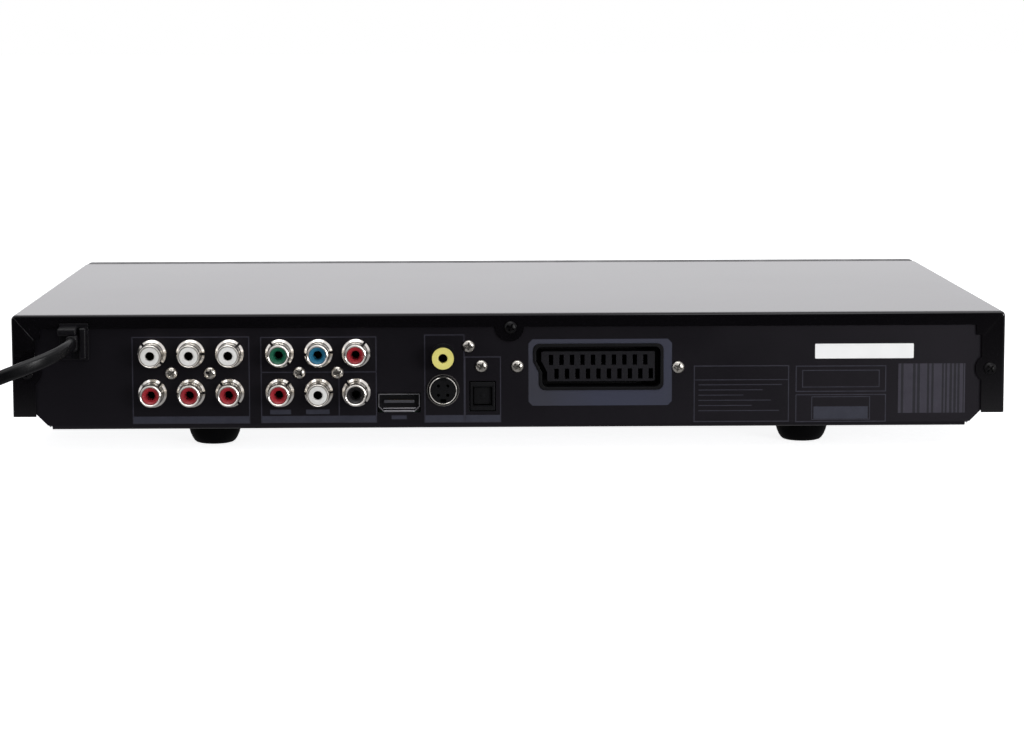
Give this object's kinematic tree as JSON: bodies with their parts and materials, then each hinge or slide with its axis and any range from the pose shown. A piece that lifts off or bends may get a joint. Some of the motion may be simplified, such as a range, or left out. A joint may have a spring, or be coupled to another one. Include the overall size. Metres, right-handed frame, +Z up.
{
  "type": "dvd player",
  "caption": "Slim disc player with a motorised tray, front buttons and display window, a rear panel of phono, video, optical and SCART sockets, and a coiled flat mains lead.",
  "frame": {"origin": "on the surface that the feet stand on, under the middle of the player from the button caps to the barrel ends", "axes": "+X to the right seen from the front, +Y out of the rear connector panel, +Z up; the disc tray leaves along -Y"},
  "size_m": [0.484, 0.2525, 0.0508],
  "materials": {
    "black_painted_steel": "semi-gloss black powder coat on sheet steel",
    "zinc_steel": "zinc-plated sheet",
    "black_abs": "fine satin moulded ABS",
    "smoked_window": "smoked acrylic",
    "foot_rubber": "moulded rubber",
    "black_moulding": "moulded glass-filled plastic",
    "nickel_plate": "bright nickel plate",
    "circuit_board": "solder-masked laminate",
    "grey_abs": "moulded ABS",
    "white_acetal": "moulded acetal",
    "belt_rubber": "cut neoprene",
    "bright_steel": "plated steel",
    "pulley_brass": "turned brass",
    "cord_pvc": "smooth PVC",
    "insert_white": "moulded plastic",
    "insert_red": "moulded plastic",
    "insert_green": "moulded plastic",
    "insert_blue": "moulded plastic",
    "insert_yellow": "moulded plastic",
    "panel_print": "screen-printed ink",
    "blank_sticker": "blank paper label"
  },
  "bodies": {
    "player": {"top_cover": "black_painted_steel", "chassis_base": "zinc_steel", "rear_panel": "black_painted_steel", "foot_front_left": "foot_rubber", "foot_front_right": "foot_rubber", "foot_rear_left": "foot_rubber", "foot_rear_right": "foot_rubber", "front_bezel": "black_abs", "display_window": "smoked_window", "front_board": "circuit_board", "loader_frame": "grey_abs", "loading_motor": "bright_steel", "drive_belt": "belt_rubber", "clamp_bridge": "zinc_steel", "main_board": "circuit_board", "power_board": "circuit_board", "surround_jack_block": "black_moulding", "av_jack_block": "black_moulding", "video_jack_block": "black_moulding", "barrel_surround_upper_1": "nickel_plate", "barrel_surround_upper_2": "nickel_plate", "barrel_surround_upper_3": "nickel_plate", "barrel_av_upper_1": "nickel_plate", "barrel_av_upper_2": "nickel_plate", "barrel_av_upper_3": "nickel_plate", "barrel_surround_lower_1": "nickel_plate", "barrel_surround_lower_2": "nickel_plate", "barrel_surround_lower_3": "nickel_plate", "barrel_av_lower_1": "nickel_plate", "barrel_av_lower_2": "nickel_plate", "barrel_av_lower_3": "nickel_plate", "barrel_video": "nickel_plate", "svideo_shell": "nickel_plate", "digital_video_socket": "nickel_plate", "optical_socket": "black_moulding", "scart_socket": "black_moulding", "strain_relief": "black_moulding", "cord_lead": "cord_pvc", "cord_coil": "cord_pvc", "mains_plug": "cord_pvc"},
    "tray": {"disc_tray": "black_abs", "tray_front": "black_abs"},
    "tray_gear": {"tray_gear": "white_acetal"},
    "pulley_gear": {"pulley_gear": "white_acetal"},
    "motor_pulley": {"motor_pulley": "pulley_brass"},
    "cam_slider": {"cam_slider": "white_acetal"},
    "traverse": {"traverse_plate": "bright_steel", "spindle_motor": "bright_steel", "guide_rod_left": "bright_steel", "guide_rod_right": "bright_steel", "sled_motor": "bright_steel"},
    "turntable": {"turntable": "black_moulding"},
    "pickup": {"optical_pickup": "black_moulding"},
    "sled_screw": {"sled_screw": "bright_steel"},
    "clamper": {"disc_clamper": "white_acetal"},
    "open_close_button": {"open_close_button": "black_abs"},
    "play_button": {"play_button": "black_abs"},
    "stop_button": {"stop_button": "black_abs"},
    "power_button": {"power_button": "black_abs"},
    "optical_shutter": {"optical_shutter": "black_moulding"}
  },
  "joints": [
    {"name": "tray_slide", "type": "slide", "parent": "player", "child": "tray", "axis": [0, -1, 0], "range_m": [0, 0.14]},
    {"name": "tray_gear_turn", "type": "hinge", "parent": "player", "child": "tray_gear", "pos_m": [0.039, -0.08355, 0.03], "axis": [0, 0, 1], "range_deg": [-730, 0]},
    {"name": "pulley_gear_turn", "type": "hinge", "parent": "player", "child": "pulley_gear", "pos_m": [0.0182, -0.08355, 0.026], "axis": [0, 0, 1], "range_deg": [0, 1642]},
    {"name": "motor_pulley_turn", "type": "hinge", "parent": "player", "child": "motor_pulley", "pos_m": [-0.028, -0.08355, 0.0236], "axis": [0, 0, 1], "range_deg": [0, 4924]},
    {"name": "traverse_tilt", "type": "hinge", "parent": "player", "child": "traverse", "pos_m": [0, 0.05245, 0.0258], "axis": [1, 0, 0], "range_deg": [0, 2.46]},
    {"name": "cam_slide", "type": "slide", "parent": "player", "child": "cam_slider", "axis": [1, 0, 0], "range_m": [0, 0.0181]},
    {"name": "turntable_spin", "type": "hinge", "parent": "traverse", "child": "turntable", "pos_m": [0, -0.03755, 0.0373], "axis": [0, 0, 1], "continuous": true},
    {"name": "clamper_spin", "type": "hinge", "parent": "player", "child": "clamper", "pos_m": [0, -0.03755, 0.0403], "axis": [0, 0, 1], "continuous": true},
    {"name": "pickup_slide", "type": "slide", "parent": "traverse", "child": "pickup", "axis": [0, 1, 0], "range_m": [0, 0.034]},
    {"name": "sled_screw_turn", "type": "hinge", "parent": "traverse", "child": "sled_screw", "pos_m": [-0.034, 0.007, 0.0213], "axis": [0, 1, 0], "range_deg": [0, 4081]},
    {"name": "open_close_press", "type": "slide", "parent": "player", "child": "open_close_button", "axis": [0, 1, 0], "range_m": [0, 0.0008], "stiffness_N_per_m": 300},
    {"name": "play_press", "type": "slide", "parent": "player", "child": "play_button", "axis": [0, 1, 0], "range_m": [0, 0.0008], "stiffness_N_per_m": 300},
    {"name": "stop_press", "type": "slide", "parent": "player", "child": "stop_button", "axis": [0, 1, 0], "range_m": [0, 0.0008], "stiffness_N_per_m": 300},
    {"name": "power_press", "type": "slide", "parent": "player", "child": "power_button", "axis": [0, 1, 0], "range_m": [0, 0.0008], "stiffness_N_per_m": 300},
    {"name": "shutter_swing", "type": "hinge", "parent": "player", "child": "optical_shutter", "pos_m": [0.0099, 0.1037, 0.0232], "axis": [-1, 0, 0], "range_deg": [0, 80], "stiffness_Nm_per_rad": 0.0002}
  ],
  "couplings": [
    {"joint": "tray_gear_turn", "follows": "tray_slide", "rad_per_m": -90.909},
    {"joint": "pulley_gear_turn", "follows": "tray_slide", "rad_per_m": 204.55},
    {"joint": "motor_pulley_turn", "follows": "tray_slide", "rad_per_m": 613.64},
    {"joint": "cam_slide", "follows": "traverse_tilt", "m_per_rad": 0.41837},
    {"joint": "sled_screw_turn", "follows": "pickup_slide", "rad_per_m": 2094.4}
  ]
}
